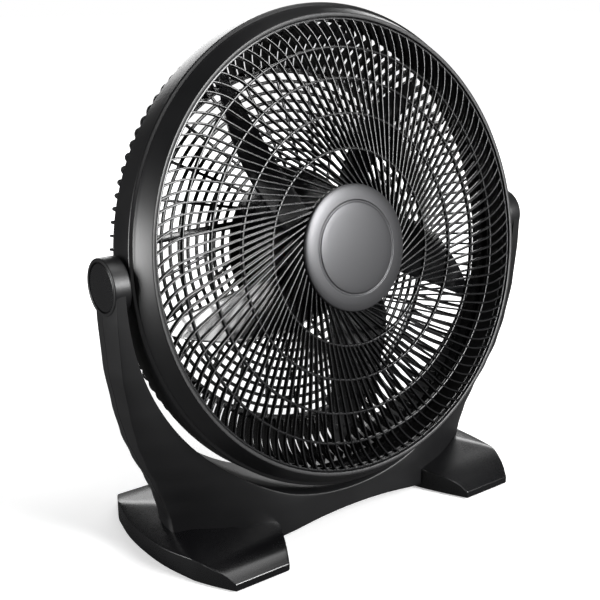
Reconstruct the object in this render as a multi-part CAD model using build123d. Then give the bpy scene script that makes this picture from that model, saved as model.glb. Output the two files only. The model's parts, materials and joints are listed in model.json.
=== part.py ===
from build123d import *
import os
from math import acos, asin, cos, degrees, radians, sin, sqrt

# Twenty-inch floor fan on a U-shaped tilting stand.
# Millimetres, +Z up, the air leaves towards -Y, the floor is z = 0.

# stand
PIVOT_Y = -23.0
PIVOT_Z = 324.0
CRADLE_R = 279.0
ARM_OUT_X = 291.0
BOSS_R = 30.0
BOSS_INNER_X = 272.0
BOSS_BORE_R = 13.0
CAP_RECESS_R = 25.5
FOOT_HALF_LENGTH = 128.0
FOOT_CENTRE_X = 172.0
PAD_THICK = 1.5

# head: the fan axis runs along Y, a little under the tilt axis
HEAD_TILT = 10.0
AXIS_DROP = 2.6
RIM_WALL = 2.6
RIM_PIVOT_END_X = 276.4
BOLT_R = 4.0
BOLT_CLEARANCE = 0.06

# front grille
GRILLE_FRONT_Y = -43.7
GRILLE_DEPTH = 6.0
GRILLE_OUTER_R = 251.0
GRILLE_RIM_R = 248.6
GRILLE_HUB_R = 69.0
RIB_WIDTH = 2.3
RIB_OFFSET = 54.0
RIB_COUNT = 116
RIB_BEND_R = 215.0
RIB_BEND = 0.0092
FRONT_RINGS = (110.0, 148.3, 186.3, 219.7)
RING_WIDTH = 3.0

# rear grille
REAR_PLANE_Y = 65.7
REAR_THICK = 3.2
BASKET_R = 57.0
BASKET_WALL = 4.5
FIN_DEPTH = 12.0
BASKET_OUTER_R = 265.0
BASKET_INNER_R = 208.0
BASKET_SLOT_Y = 26.0
REAR_OPENING_R = 60.5
REAR_PLATE_R = 93.6
REAR_RING_COUNT = 10
REAR_RING_PITCH = 11.34
REAR_RING_WIDTH = 4.0
REAR_ARMS = 27
REAR_ARM_PHASE = 167.0
REAR_ARM_PHASE_R = 155.0
REAR_ARM_OFFSET = 38.0
REAR_ARM_WIDTH = 3.4
REAR_BROAD_ARM_WIDTH = 9.0

# rotor
BLADE_COUNT = 5
BLADE_HUB_R = 46.0
BLADE_PHASE = 48.0
BLADE_THICK = 2.2
BLADE_STATIONS = ((30, 0.66, 3), (95, 0.52, 5), (165, 0.41, 6), (245, 0.33, 5))
SHAFT_R = 5.0
SHAFT_CLEARANCE = 0.05

# motor
HOUSING_R = 59.5
HOUSING_WALL = 2.5
HOUSING_FRONT_Y = 33.0
HOUSING_REAR_Y = 92.0
STATOR_R = 47.0
ROTOR_R = 24.0


def revolve_y(points):
    """Solid of revolution about Y from (radius, y) points."""
    outline = Polyline([(r, y, 0) for r, y in points], close=True)
    return revolve(make_face(outline), axis=Axis.Y)


def disc_y(radius, y0, y1, x=0.0, z=0.0):
    """Cylinder along Y between two planes."""
    middle = (y0 + y1) / 2
    return Pos(x, middle, z) * Rot(90, 0, 0) * Cylinder(radius, abs(y1 - y0))


def disc_x(radius, x0, x1, y, z):
    """Cylinder along X between two planes."""
    middle = (x0 + x1) / 2
    return Pos(middle, y, z) * Rot(0, 90, 0) * Cylinder(radius, abs(x1 - x0))


def block(x0, x1, y0, y1, z0, z1):
    """Box between opposite corners."""
    centre = Pos((x0 + x1) / 2, (y0 + y1) / 2, (z0 + z1) / 2)
    return centre * Box(abs(x1 - x0), abs(y1 - y0), abs(z1 - z0))


def on_circle(radius, degrees, y=0.0):
    """Point of the XZ plane at a radius and angle."""
    return (radius * cos(radians(degrees)), y, radius * sin(radians(degrees)))


def arc_between(radius, start, end, y=0.0):
    """Arc of a circle about Y between two angles."""
    middle = (start + end) / 2
    return ThreePointArc(
        on_circle(radius, start, y), on_circle(radius, middle, y), on_circle(radius, end, y)
    )


def around_y(shape, count, phase=0.0):
    """Copies of a shape spread around Y."""
    return [Rot(0, -(phase + 360 * i / count), 0) * shape for i in range(count)]


def hang(shape):
    """Head frame to the stand: fan axis under the pivots, head tilted up."""
    return Pos(0, PIVOT_Y, PIVOT_Z) * Rot(-HEAD_TILT, 0, 0) * Pos(0, 0, -AXIS_DROP) * shape


def both_sides(shape):
    """The shape and its mirror image in the YZ plane."""
    return shape + mirror(shape, about=Plane.YZ)


# ---------------------------------------------------------------- stand


def cradle_section(z, outer_x, turn_x, outer_depth, face_depth, rear_depth):
    """Horizontal section of the left half: crisp front edge, rounded rear."""
    seam = (-outer_x, PIVOT_Y)
    edge = (-outer_x + 1.2, PIVOT_Y - outer_depth)
    turn = (-turn_x, PIVOT_Y - face_depth)
    face = (-turn_x * 0.55, PIVOT_Y - face_depth)
    rear = PIVOT_Y + rear_depth
    front = Bezier(edge, turn, face)
    rest = Polyline(
        [
            face,
            (0, PIVOT_Y - face_depth),
            (0, rear),
            (-outer_x + 13, rear),
            (-outer_x + 3.5, PIVOT_Y + rear_depth * 0.62),
            seam,
            edge,
        ]
    )
    return Plane.XY.offset(z) * make_face(front + rest)


CRADLE_SECTIONS = (
    # height, outer x, turn x, outer depth, face depth, rear depth
    (2.0, 216.0, 140.0, 2.0, 53.0, 48.0),
    (42.0, 223.0, 150.0, 3.0, 50.5, 45.0),
    (68.0, 231.0, 160.0, 5.0, 48.0, 42.0),
    (96.0, 243.0, 180.0, 9.0, 44.5, 38.0),
    (126.0, 258.5, 205.0, 15.0, 39.5, 34.0),
    (155.0, 270.5, 232.0, 20.0, 35.0, 31.0),
    (190.0, 279.5, 255.0, 24.0, 32.5, 29.0),
    (235.0, 287.5, 272.0, 27.0, 31.0, 28.0),
    (290.0, 291.0, 282.0, 29.0, 30.2, 28.0),
    (324.0, 291.0, 284.0, 29.5, 30.0, 28.0),
)


def half_cradle():
    """Left arm with its pivot boss and half of the bridge between the feet."""
    sections = [cradle_section(*row) for row in CRADLE_SECTIONS]
    boss = disc_x(BOSS_R, -ARM_OUT_X, -266, PIVOT_Y, PIVOT_Z)
    return loft(sections) + boss


def cradle_hollow():
    """Space the head swings in: a cylinder flared at the front and rear."""
    y = PIVOT_Y
    front = ThreePointArc((292, y - 58, 0), (282.5, y - 48.5, 0), (CRADLE_R, y - 36, 0))
    rear = ThreePointArc((CRADLE_R, y + 34, 0), (281.5, y + 43, 0), (288, y + 50, 0))
    straight = Line((CRADLE_R, y - 36, 0), (CRADLE_R, y + 34, 0))
    back = Polyline([(288, y + 50, 0), (288, y + 90, 0), (0, y + 90, 0), (0, y - 90, 0)])
    close = Polyline([(0, y - 90, 0), (292, y - 90, 0), (292, y - 58, 0)])
    profile = make_face(front + straight + rear + back + close)
    return Pos(0, 0, PIVOT_Z) * revolve(profile, axis=Axis.Y)


def bridge_arch():
    """Space under the bridge between the feet."""
    arch = ThreePointArc((-150, 0, -2), (0, 0, 17), (150, 0, -2))
    sides = Polyline([(150, 0, -2), (150, 0, -20), (-150, 0, -20), (-150, 0, -2)])
    return extrude(make_face(arch + sides), amount=300, both=True, dir=(0, 1, 0))


def foot():
    """Left foot: barrel-shaped plan, crowned top, thin ends."""
    x = -FOOT_CENTRE_X
    end = FOOT_HALF_LENGTH
    outer = Spline((x - 35, -end, 0), (x - 59, -83, 0), (x - 71, 0, 0), (x - 59, 83, 0), (x - 35, end, 0))
    inner = Spline((x + 35, end, 0), (x + 62, 70, 0), (x + 75, 0, 0), (x + 62, -70, 0), (x + 35, -end, 0))
    front = Line((x + 35, -end, 0), (x - 35, -end, 0))
    rear = Line((x - 35, end, 0), (x + 35, end, 0))
    plan = make_face(outer + rear + inner + front)
    prism = Pos(0, 0, PAD_THICK) * extrude(plan, amount=60)
    length = Spline((0, -end, 10), (0, -114, 19), (0, -84, 27), (0, 0, 37), (0, 84, 27), (0, 114, 19), (0, end, 10))
    under = Polyline([(0, end, 10), (0, end, -5), (0, -end, -5), (0, -end, 10)])
    length_view = extrude(make_face(length + under), amount=300, both=True, dir=(1, 0, 0))
    width = Spline((x - 76, 0, 22), (x - 50, 0, 30), (x, 0, 38), (x + 50, 0, 30), (x + 80, 0, 22))
    below = Polyline([(x + 80, 0, 22), (x + 80, 0, -5), (x - 76, 0, -5), (x - 76, 0, 22)])
    width_view = extrude(make_face(width + below), amount=200, both=True, dir=(0, 1, 0))
    return prism & length_view & width_view


def screw_y(x, y, z, head_r=4.0, head_h=2.4, shank_r=2.0, length=16.0):
    """Pan-head screw driven along -Y, cross recess in the head."""
    head = disc_y(head_r, y, y + head_h, x, z)
    shank = disc_y(shank_r, y - length, y, x, z)
    slot = block(x - head_r * 0.6, x + head_r * 0.6, y + head_h - 1, y + head_h + 1, z - 0.5, z + 0.5)
    cross = block(x - 0.5, x + 0.5, y + head_h - 1, y + head_h + 1, z - head_r * 0.6, z + head_r * 0.6)
    return head + shank - slot - cross


STAND_SCREWS = ((-262, 190), (-206, 100), (-70, 30), (70, 30), (206, 100), (262, 190))
STAND_SCREW_SEAT_Y = PIVOT_Y + 14

left_foot = foot()
right_foot = mirror(left_foot, about=Plane.YZ)

cradle = both_sides(half_cradle())
cradle -= cradle_hollow()
collar = disc_x(BOSS_R, -280, -BOSS_INNER_X, PIVOT_Y, PIVOT_Z)
collar -= disc_x(BOSS_BORE_R, -280, -BOSS_INNER_X, PIVOT_Y, PIVOT_Z)
cradle += both_sides(collar)
cradle -= bridge_arch()
cradle -= both_sides(disc_x(CAP_RECESS_R, -292, -ARM_OUT_X + 2.5, PIVOT_Y, PIVOT_Z))
cradle -= both_sides(disc_x(9.0, -290, -283.5, PIVOT_Y, PIVOT_Z))
cradle -= both_sides(disc_x(BOLT_R, -290, -270, PIVOT_Y, PIVOT_Z))
cradle -= [left_foot, right_foot]
for screw_x, screw_z in STAND_SCREWS:
    cradle -= disc_y(4.6, STAND_SCREW_SEAT_Y, 60, screw_x, screw_z)
    cradle -= disc_y(2.0, STAND_SCREW_SEAT_Y - 17, STAND_SCREW_SEAT_Y, screw_x, screw_z)
cradle = cradle & block(-300, 300, -140, 140, PAD_THICK, 400)
stand_front_shell = cradle & block(-300, 300, -140, PIVOT_Y, -1, 400)
stand_rear_shell = cradle & block(-300, 300, PIVOT_Y, 140, -1, 400)
stand_screws = Compound(
    [screw_y(x, STAND_SCREW_SEAT_Y, z) for x, z in STAND_SCREWS]
)

pads = []
for side in (-1, 1):
    for pad_y in (-104, 104):
        pads.append(Pos(side * FOOT_CENTRE_X, pad_y, PAD_THICK / 2) * Box(44, 22, PAD_THICK))
foot_pads = Compound(pads)


def pivot_cap():
    """Domed disc that closes the left recess."""
    profile = [(0, -283.7), (CAP_RECESS_R - 0.2, -283.7), (CAP_RECESS_R - 0.2, -289.3)]
    profile += [(CAP_RECESS_R - 1.6, -290.2), (12, -289.6), (0, -289.5)]
    outline = Polyline([(x, r, 0) for r, x in profile], close=True)
    return Pos(0, PIVOT_Y, PIVOT_Z) * revolve(make_face(outline), axis=Axis.X)


left_pivot_cap = pivot_cap() & disc_x(CAP_RECESS_R - 0.2, -292, -288.5, PIVOT_Y, PIVOT_Z)
right_pivot_cap = mirror(left_pivot_cap, about=Plane.YZ)


def pivot_bolt():
    """Shoulder bolt fixed in the left arm, its tip turning in the rim boss."""
    head = disc_x(7.5, -287.5, -283.5, PIVOT_Y, PIVOT_Z)
    socket = Pos(-287.5, PIVOT_Y, PIVOT_Z) * Rot(0, 90, 0) * extrude(RegularPolygon(3.5, 6), amount=2.5)
    shank = disc_x(BOLT_R, -283.5, -266.5, PIVOT_Y, PIVOT_Z)
    return head + shank - socket


left_pivot_bolt = pivot_bolt()
right_pivot_bolt = mirror(left_pivot_bolt, about=Plane.YZ)
left_washer = disc_x(11.5, -278.7, -276.7, PIVOT_Y, PIVOT_Z)
left_washer -= disc_x(BOLT_R, -280, -276, PIVOT_Y, PIVOT_Z)
pivot_washers = Compound([left_washer, mirror(left_washer, about=Plane.YZ)])

# ---------------------------------------------------------------- head

RIM_PROFILE = (
    (251.3, -45.4),
    (255.7, -45.9),
    (264.7, -27.9),
    (266.2, -25.6),
    (270.0, -23.1),
    (267.9, 11.7),
    (267.9 - RIM_WALL, 11.7),
    (270.0 - RIM_WALL, -21.4),
    (263.6, -24.4),
    (262.0, -27.6),
    (254.2, -43.0),
    (251.3, -43.0),
)
PIVOT_IN_HEAD = AXIS_DROP


def rim():
    ring = revolve_y(RIM_PROFILE)
    ledge = revolve_y([(GRILLE_OUTER_R - 4, -37.4), (258.4, -37.4), (258.9, -35.8), (GRILLE_OUTER_R - 4, -35.8)])
    seat = revolve_y([(261.4, 10.1), (265.6, 10.1), (265.5, 11.7), (261.4, 11.7)])
    boss = disc_x(11.0, -RIM_PIVOT_END_X, -266.5, 0, PIVOT_IN_HEAD)
    shell = ring + ledge + seat + boss + mirror(boss, about=Plane.YZ)
    bore = disc_x(BOLT_R + BOLT_CLEARANCE, -280, -260, 0, PIVOT_IN_HEAD)
    shell -= bore
    shell -= mirror(bore, about=Plane.YZ)
    return shell


rim_shell = rim()


def rib_angle(radius, offset):
    """Angle along a rib that leaves a circle of the given radius as a tangent."""
    bend = RIB_BEND * max(0.0, radius - RIB_BEND_R) ** 2
    return (acos(offset / radius) + bend / radius) * 180 / 3.14159265358979


def grille_window(start, step, r0, r1):
    """Opening between two neighbouring ribs and two rings."""
    left = [start + rib_angle(r, RIB_OFFSET - RIB_WIDTH / 2) for r in (r0, (r0 + r1) / 2, r1)]
    right = [start + step + rib_angle(r, RIB_OFFSET + RIB_WIDTH / 2) for r in (r0, (r0 + r1) / 2, r1)]
    radii = (r0, (r0 + r1) / 2, r1)
    a = [on_circle(r, angle) for r, angle in zip(radii, left)]
    b = [on_circle(r, angle) for r, angle in zip(radii, right)]
    if r1 > RIB_BEND_R + 10:
        left_edge = ThreePointArc(a[0], a[1], a[2])
        right_edge = ThreePointArc(b[2], b[1], b[0])
    else:
        left_edge = Line(a[0], a[2])
        right_edge = Line(b[2], b[0])
    outer = arc_between(r1, left[2], right[2])
    inner = arc_between(r0, right[0], left[0])
    return Wire([left_edge, outer, right_edge, inner])


def front_grille_face():
    edges = [GRILLE_HUB_R]
    for ring in FRONT_RINGS:
        edges += [ring - RING_WIDTH / 2, ring + RING_WIDTH / 2]
    edges.append(GRILLE_RIM_R)
    windows = []
    for band in range(len(edges) // 2):
        r0 = edges[2 * band]
        r1 = edges[2 * band + 1]
        count = RIB_COUNT // 2 if band == 0 else RIB_COUNT
        step = 360 / count
        for i in range(count):
            windows.append(grille_window(i * step, step, r0, r1))
    plane = Plane((0, 0, 0), x_dir=(1, 0, 0), z_dir=(0, 1, 0))
    outline = Wire([Edge.make_circle(GRILLE_OUTER_R, plane)])
    windows.append(Wire([Edge.make_circle(GRILLE_HUB_R - 13, plane)]))
    return Face(outline, windows)


front_grille = Pos(0, GRILLE_FRONT_Y, 0) * extrude(front_grille_face(), amount=GRILLE_DEPTH, dir=(0, 1, 0))

hub_badge = revolve_y(
    [
        (0, -50.2),
        (30, -49.9),
        (50.6, -49.0),
        (51.2, -48.2),
        (53.0, -48.1),
        (53.6, -48.8),
        (68.0, -47.6),
        (71.2, -46.0),
        (71.2, GRILLE_FRONT_Y),
        (GRILLE_HUB_R - 13.3, GRILLE_FRONT_Y),
        (GRILLE_HUB_R - 13.3, -39.0),
        (GRILLE_HUB_R - 16, -39.0),
        (GRILLE_HUB_R - 16, -45.4),
        (0, -46.2),
    ]
)


def basket_wall(depth):
    """Curved wall from the rim to the flat back."""
    r_out = BASKET_OUTER_R
    y0 = 11.7
    outer = ThreePointArc(
        (r_out, y0, 0),
        (BASKET_INNER_R + BASKET_R * cos(radians(45)), y0 + BASKET_R * sin(radians(45)), 0),
        (BASKET_INNER_R, y0 + BASKET_R, 0),
    )
    r_in = BASKET_R - depth
    inner = ThreePointArc(
        (BASKET_INNER_R, y0 + r_in, 0),
        (BASKET_INNER_R + r_in * cos(radians(45)), y0 + r_in * sin(radians(45)), 0),
        (BASKET_INNER_R + r_in, y0, 0),
    )
    top = Line((BASKET_INNER_R, y0 + BASKET_R, 0), (BASKET_INNER_R, y0 + r_in, 0))
    bottom = Line((BASKET_INNER_R + r_in, y0, 0), (r_out, y0, 0))
    return revolve(make_face(outer + top + inner + bottom), axis=Axis.Y)


def basket_side():
    """Thin wall at the rim, then a deeper one slotted into fins."""
    wall = basket_wall(BASKET_WALL) + (basket_wall(FIN_DEPTH) - disc_y(290, 0, BASKET_SLOT_Y))
    half = 360 / RIB_COUNT / 2 - 0.36
    r0 = BASKET_INNER_R + 1.6
    r1 = 285.0
    corners = [on_circle(r0, -half), on_circle(r1, -half), on_circle(r1, half), on_circle(r0, half)]
    wedge = extrude(make_face(Polyline(corners, close=True)), amount=66, dir=(0, 1, 0))
    wedge = Pos(0, BASKET_SLOT_Y, 0) * wedge
    return wall - around_y(wedge, RIB_COUNT)


def rear_arm_angle(i, radius):
    """Middle of a back arm, in degrees; the arms run tangent to a small circle."""
    lean = degrees(asin(REAR_ARM_OFFSET / REAR_ARM_PHASE_R) - asin(REAR_ARM_OFFSET / radius))
    return REAR_ARM_PHASE + i * 360 / REAR_ARMS + lean


def rear_flat():
    """Flat back: a solid middle, concentric rings and leaning arms, one of them broad."""
    windows = []
    for ring in range(REAR_RING_COUNT):
        r0 = REAR_PLATE_R + ring * REAR_RING_PITCH
        r1 = r0 + REAR_RING_PITCH - REAR_RING_WIDTH
        for i in range(REAR_ARMS):
            left = REAR_BROAD_ARM_WIDTH if i == 0 else REAR_ARM_WIDTH
            right = REAR_BROAD_ARM_WIDTH if i == REAR_ARMS - 1 else REAR_ARM_WIDTH
            start = [rear_arm_angle(i, r) + degrees(left / 2 / r) for r in (r0, r1)]
            end = [rear_arm_angle(i + 1, r) - degrees(right / 2 / r) for r in (r0, r1)]
            side_a = Line(on_circle(r0, start[0]), on_circle(r1, start[1]))
            side_b = Line(on_circle(r1, end[1]), on_circle(r0, end[0]))
            far = arc_between(r1, start[1], end[1])
            near = arc_between(r0, end[0], start[0])
            windows.append(Wire([side_a, far, side_b, near]))
    plane = Plane((0, 0, 0), x_dir=(1, 0, 0), z_dir=(0, 1, 0))
    outline = Wire([Edge.make_circle(BASKET_INNER_R, plane)])
    windows.append(Wire([Edge.make_circle(REAR_OPENING_R, plane)]))
    return Pos(0, REAR_PLANE_Y, 0) * extrude(Face(outline, windows), amount=REAR_THICK, dir=(0, 1, 0))


rear_grille = basket_side() + rear_flat()

GRILLE_SCREW_R = 262.6
GRILLE_SCREW_SEAT_Y = 16.7
grille_screws = []
for i in range(6):
    x, _, z = on_circle(GRILLE_SCREW_R, 30 + 60 * i)
    screw = screw_y(x, GRILLE_SCREW_SEAT_Y, z, head_r=2.0, head_h=1.6, shank_r=1.1, length=8)
    grille_screws.append(screw)
    rim_shell -= disc_y(1.1, 8, GRILLE_SCREW_SEAT_Y, x, z)
    rear_grille -= disc_y(1.1, 8, GRILLE_SCREW_SEAT_Y, x, z)
    rear_grille -= disc_y(2.3, GRILLE_SCREW_SEAT_Y, 30, x, z)

# ---------------------------------------------------------------- rotor


def blade():
    """One blade: a twisted sheet trimmed by a petal with one radial edge."""
    sections = []
    t = BLADE_THICK / 2
    for radius, slope, camber in BLADE_STATIONS:
        points = []
        for x in (12, -15, -30, -45, -72):
            points.append((x, slope * x + camber * (1 - ((x + 29) / 39) ** 2)))
        top = Spline([(x, y + t, 0) for x, y in points])
        bottom = Spline([(x, y - t, 0) for x, y in reversed(points)])
        side = Line(top @ 1, bottom @ 0)
        close = Line(bottom @ 1, top @ 0)
        sections.append(Pos(0, 0, radius) * make_face(top + side + bottom + close))
    sheet = loft(sections)
    root = Line((6, 0, 34), (-30, 0, 34))
    trail = Spline((-30, 0, 34), (-56, 0, 66), (-58, 0, 100), (-51, 0, 150), (-33, 0, 195), (-12, 0, 230))
    tip = ThreePointArc((-12, 0, 230), (-5, 0, 235.5), (1, 0, 230))
    lead = Spline((1, 0, 230), (0, 0, 180), (0, 0, 100), (6, 0, 34))
    petal = extrude(make_face(root + trail + tip + lead), amount=80, both=True, dir=(0, 1, 0))
    return Rot(0, 90, 0) * (sheet & petal)


blade_hub = revolve_y(
    [
        (SHAFT_R, -24),
        (36, -24),
        (43, -21),
        (BLADE_HUB_R, -16),
        (BLADE_HUB_R, 26),
        (BLADE_HUB_R - 3, 26),
        (BLADE_HUB_R - 3, -15),
        (40, -19),
        (12, -20),
        (12, 22),
        (SHAFT_R, 22),
    ]
)
fan_blade = blade_hub
for one in around_y(blade() - disc_y(BLADE_HUB_R - 2, -60, 60), BLADE_COUNT, BLADE_PHASE):
    fan_blade = fan_blade + one

blade_nut = revolve_y([(SHAFT_R, -33), (8, -33), (10, -31), (10, -24), (SHAFT_R, -24)])
rotor_shaft = disc_y(SHAFT_R, -31, 80.5)
rotor_core = disc_y(ROTOR_R, 44, 68) - disc_y(SHAFT_R, 40, 70)

# ---------------------------------------------------------------- motor

housing_profile = [
    (HOUSING_R - HOUSING_WALL, HOUSING_FRONT_Y),
    (HOUSING_R, HOUSING_FRONT_Y),
    (HOUSING_R, 62.5),
    (73, 62.5),
    (73, REAR_PLANE_Y),
    (HOUSING_R, REAR_PLANE_Y),
    (HOUSING_R, 82),
    (57, 88),
    (50, HOUSING_REAR_Y),
    (0, HOUSING_REAR_Y),
    (0, HOUSING_REAR_Y - HOUSING_WALL),
    (49, HOUSING_REAR_Y - HOUSING_WALL),
    (54.6, 86.4),
    (HOUSING_R - HOUSING_WALL, 81.4),
]
motor_housing = revolve_y(housing_profile)
motor_housing -= disc_y(4.0, 85, 95)
motor_housing -= disc_y(6.0, 85, 95, 0, -40)
vent = block(-1.6, 1.6, 71, 80, 50, 65)
motor_housing -= around_y(vent, 24)
MOTOR_SCREW_R = 68.0


def bearing(y0, y1):
    """Sleeve bearing for the shaft."""
    return disc_y(9, y0, y1) - disc_y(SHAFT_R + SHAFT_CLEARANCE, y0 - 1, y1 + 1)


def bracket(y0, y1, cup0, cup1):
    """Motor end bracket: a spoked disc with a bearing cup."""
    plate = disc_y(HOUSING_R - HOUSING_WALL, y0, y1)
    plate += disc_y(13, cup0, cup1)
    plate -= disc_y(9, cup0 - 1, cup1 + 1)
    hole = disc_y(9, y0 - 1, y1 + 1, 34, 0)
    return plate - around_y(hole, 6)


front_bearing = bearing(28, 38)
rear_bearing = bearing(72, 80)
motor_front_bracket = bracket(34, 38, 29, 38)
motor_rear_bracket = bracket(74, 77, 72, 80)


def stator():
    """Laminated ring with eight poles around the rotor."""
    ring = disc_y(STATOR_R, 44, 68) - disc_y(38, 43, 69)
    for tooth in around_y(block(24.6, 39, 44, 68, -4.5, 4.5), 8):
        ring = ring + tooth
    return ring - disc_y(ROTOR_R + 0.5, 43, 69)


stator_core = stator()
stator_lug = block(46.0, HOUSING_R, 50, 62, -5, 5) - disc_y(STATOR_R, 40, 70)
stator_lug = stator_lug & disc_y(HOUSING_R - HOUSING_WALL, 40, 70)
stator_core = stator_core + around_y(stator_lug, 4)
coil = block(27.5, 37.0, 40.5, 71.5, -7.5, 7.5) - block(20, 45, 43.9, 68.1, -4.6, 4.6)
stator_windings = Compound(around_y(coil, 8))

capacitor = block(16, 42, 79.2, 88.8, -9, 9)
speed_switch = block(-13, 13, 80.6, 89.5, -13, 13)
speed_switch -= disc_y(3.2, 80, 90)
cord_gland = disc_y(9, 92, 95, 0, -40) + disc_y(6, 87, 92, 0, -40) + disc_y(6.5, 95, 103, 0, -40)
cord_gland -= disc_y(3.6, 86, 104, 0, -40)
dial_plate = disc_y(34, HOUSING_REAR_Y, HOUSING_REAR_Y + 0.9) - disc_y(10, 90, 95)
dial_plate -= disc_y(10, 91, 95, 0, -40)
for mark_angle in (45, 90, 135, 180):
    mark = block(22, 31, HOUSING_REAR_Y + 0.5, HOUSING_REAR_Y + 2, -0.6, 0.6)
    dial_plate -= Rot(0, -mark_angle, 0) * mark
motor_screws = []
for i in range(6):
    x, _, z = on_circle(MOTOR_SCREW_R, 30 + 60 * i)
    seat_y = REAR_PLANE_Y + REAR_THICK
    motor_screws.append(screw_y(x, seat_y, z, head_r=3.4, head_h=2, shank_r=1.5, length=6.2))
    hole = disc_y(1.5, 60, seat_y, x, z)
    rear_grille -= hole
    motor_housing -= hole

knob_body = revolve_y(
    [(0, 96.0), (19, 96.0), (19, 98.5), (16.5, 100), (15.5, 111), (13.5, 112.5), (0, 112.5)]
)
knob_body += block(-3, 3, 108, 114.5, -15, 15)
knob_body -= block(-0.8, 0.8, 113.7, 116, 3, 14.0)
knob_body += disc_y(3.0, 82, 97)
speed_knob = knob_body

HEAD_NODES = {
    "rim_shell": rim_shell,
    "front_grille": front_grille,
    "hub_badge": hub_badge,
    "rear_grille": rear_grille,
    "grille_screws": Compound(grille_screws),
    "motor_housing": motor_housing,
    "motor_front_bracket": motor_front_bracket,
    "motor_rear_bracket": motor_rear_bracket,
    "stator_core": stator_core,
    "stator_windings": stator_windings,
    "front_bearing": front_bearing,
    "rear_bearing": rear_bearing,
    "capacitor": capacitor,
    "speed_switch": speed_switch,
    "dial_plate": dial_plate,
    "cord_gland": cord_gland,
    "motor_screws": Compound(motor_screws),
    "fan_blade": fan_blade,
    "rotor_shaft": rotor_shaft,
    "rotor_core": rotor_core,
    "blade_nut": blade_nut,
    "speed_knob": speed_knob,
}

STAND_NODES = {
    "stand_front_shell": stand_front_shell,
    "stand_rear_shell": stand_rear_shell,
    "left_foot": left_foot,
    "right_foot": right_foot,
    "foot_pads": foot_pads,
    "stand_screws": stand_screws,
    "left_pivot_cap": left_pivot_cap,
    "right_pivot_cap": right_pivot_cap,
    "left_pivot_bolt": left_pivot_bolt,
    "right_pivot_bolt": right_pivot_bolt,
    "pivot_washers": pivot_washers,
}

os.makedirs("parts", exist_ok=True)
for node, shape in STAND_NODES.items():
    export_step(shape, f"parts/{node}.step")
for node, shape in HEAD_NODES.items():
    export_step(hang(shape), f"parts/{node}.step")
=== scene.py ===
"""Looks of a tilting floor fan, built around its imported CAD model."""

import json
import math

import bmesh
import bpy
from mathutils import Matrix, Vector


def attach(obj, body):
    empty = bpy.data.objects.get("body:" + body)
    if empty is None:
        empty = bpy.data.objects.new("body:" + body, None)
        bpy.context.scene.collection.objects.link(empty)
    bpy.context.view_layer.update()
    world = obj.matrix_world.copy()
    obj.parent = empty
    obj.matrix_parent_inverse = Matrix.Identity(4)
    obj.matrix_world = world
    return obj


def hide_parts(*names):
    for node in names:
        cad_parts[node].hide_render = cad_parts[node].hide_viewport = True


bl_info = {
    "name": "Tilting Floor Fan",
    "version": (1, 0, 0),
    "blender": (4, 5, 0),
    "location": "View3D > Sidebar > Floor Fan",
    "description": "Builds the shell, grilles, rotor and stand of a tilting floor fan",
    "category": "Object",
}

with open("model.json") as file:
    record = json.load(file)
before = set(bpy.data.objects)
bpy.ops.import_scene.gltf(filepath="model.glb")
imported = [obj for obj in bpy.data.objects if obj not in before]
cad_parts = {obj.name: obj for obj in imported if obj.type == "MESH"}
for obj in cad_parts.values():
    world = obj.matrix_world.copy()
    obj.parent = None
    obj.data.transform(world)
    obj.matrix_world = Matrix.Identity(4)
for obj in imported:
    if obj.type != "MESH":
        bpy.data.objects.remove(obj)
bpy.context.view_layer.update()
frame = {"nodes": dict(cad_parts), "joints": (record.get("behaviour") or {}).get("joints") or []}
JOINTS = {joint["name"]: joint for joint in frame["joints"]}

MM = 0.001
PIVOT = Vector(JOINTS["head_tilt"]["pos_m"])
HUB = Vector(JOINTS["fan_spin"]["pos_m"])
AXIS = Vector(JOINTS["fan_spin"]["axis"])
HEAD_TILT = math.atan2(AXIS.z, -AXIS.y)
HEAD = Matrix.Translation(HUB) @ Matrix.Rotation(-HEAD_TILT, 4, "X")
TO_METRES = Matrix.Scale(MM, 4)
HEAD_MM = HEAD @ TO_METRES

# The fan axis is Y in head measures, and the air leaves towards -Y. Sizes are in millimetres.
SEAM_Y = PIVOT.y / MM
PIVOT_Z = PIVOT.z / MM
AXIS_DROP = 2.6
CRADLE_R = 279.0
ARM_FACE_X = 291.0
BASE_Z = 2.0
FOOT_X = 172.0
PAD_Y = 104.0

# The arched underside of the stand: half its width, its rise, and the height of its top.
ARCH_HALF, ARCH_RISE, ARCH_TOP = 150.0, 19.0, 17.0

# Where the hollow of each shell begins to flare, how fast, and by how much at that reach.
FRONT_FLARE, REAR_FLARE, FLARE_WIDTH = (36.0, 22.0), (34.0, 18.0), 11.0

# The stand's rows: height, outer x, x where the face turns, outer depth, face depth, rear depth.
CRADLE_SECTIONS = (
    (2.0, 216.0, 140.0, 2.0, 53.0, 48.0),
    (42.0, 223.0, 150.0, 3.0, 50.5, 45.0),
    (68.0, 231.0, 160.0, 5.0, 48.0, 42.0),
    (96.0, 243.0, 180.0, 9.0, 44.5, 38.0),
    (126.0, 258.5, 205.0, 15.0, 39.5, 34.0),
    (155.0, 270.5, 232.0, 20.0, 35.0, 31.0),
    (190.0, 279.5, 255.0, 24.0, 32.5, 29.0),
    (235.0, 287.5, 272.0, 27.0, 31.0, 28.0),
    (290.0, 291.0, 282.0, 29.0, 30.2, 28.0),
    (324.0, 291.0, 284.0, 29.5, 30.0, 28.0),
)


# ---------------------------------------------------------------- sizes and colours


def whole(name, description, default, low, high):
    """A count that the user may change."""
    return bpy.props.IntProperty(name=name, description=description, default=default, min=low, max=high)


def length(name, description, default, low, high):
    """A length that the user may change, in metres."""
    return bpy.props.FloatProperty(
        name=name, description=description, default=default, min=low, max=high,
        unit="LENGTH", subtype="DISTANCE",
    )


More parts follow.
